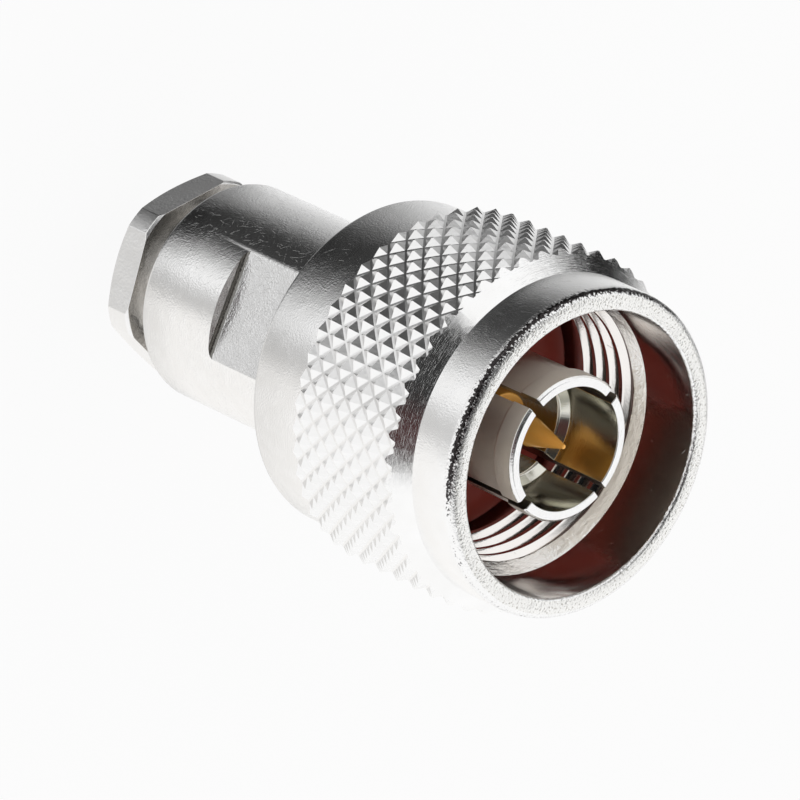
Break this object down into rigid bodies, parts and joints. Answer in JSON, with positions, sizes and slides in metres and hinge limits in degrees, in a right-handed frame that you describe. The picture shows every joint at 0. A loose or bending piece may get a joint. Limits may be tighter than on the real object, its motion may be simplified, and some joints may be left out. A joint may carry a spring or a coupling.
{
  "type": "n type coaxial connector",
  "caption": "Straight coaxial plug with a knurled coupling nut, slotted outer contact, pointed centre pin, face gasket, round body with wrench flats and a hexagonal cable clamp nut.",
  "frame": {"origin": "centre of the clamp nut's rear face, on which the plug stands", "axes": "+Z along the plug's axis towards the mating end; -Y square to one wrench flat of the body"},
  "size_m": [0.0208, 0.0208, 0.034],
  "materials": {
    "plated_brass": "white plated, turned and lightly blasted",
    "contact_silver": "silver plated, smooth",
    "spring_bronze": "plated spring bronze",
    "contact_gold": "gold plated",
    "white_ptfe": "waxy white",
    "red_silicone": "smooth silicone rubber",
    "dark_rubber": "matt rubber"
  },
  "bodies": {
    "plug": {"body_shell": "plated_brass", "outer_contact": "contact_silver", "front_insulator": "white_ptfe", "rear_insulator": "white_ptfe", "centre_contact": "contact_gold", "face_gasket": "red_silicone", "retaining_ring": "spring_bronze", "braid_clamp": "plated_brass", "cable_gasket": "dark_rubber"},
    "coupling": {"coupling_nut": "plated_brass"},
    "washer": {"slip_washer": "plated_brass"},
    "clamp": {"clamp_nut": "plated_brass"}
  },
  "joints": [
    {"name": "coupling_spin", "type": "hinge", "parent": "plug", "child": "coupling", "pos_m": [0, 0, 0.026], "axis": [0, 0, 1], "continuous": true},
    {"name": "clamp_travel", "type": "slide", "parent": "plug", "child": "washer", "axis": [0, 0, -1], "range_m": [0, 0.0045]},
    {"name": "clamp_turn", "type": "hinge", "parent": "washer", "child": "clamp", "pos_m": [0, 0, 0.0046], "axis": [0, 0, -1], "range_deg": [0, 2160]}
  ],
  "couplings": [
    {"joint": "clamp_turn", "follows": "clamp_travel", "rad_per_m": 8377.5}
  ]
}
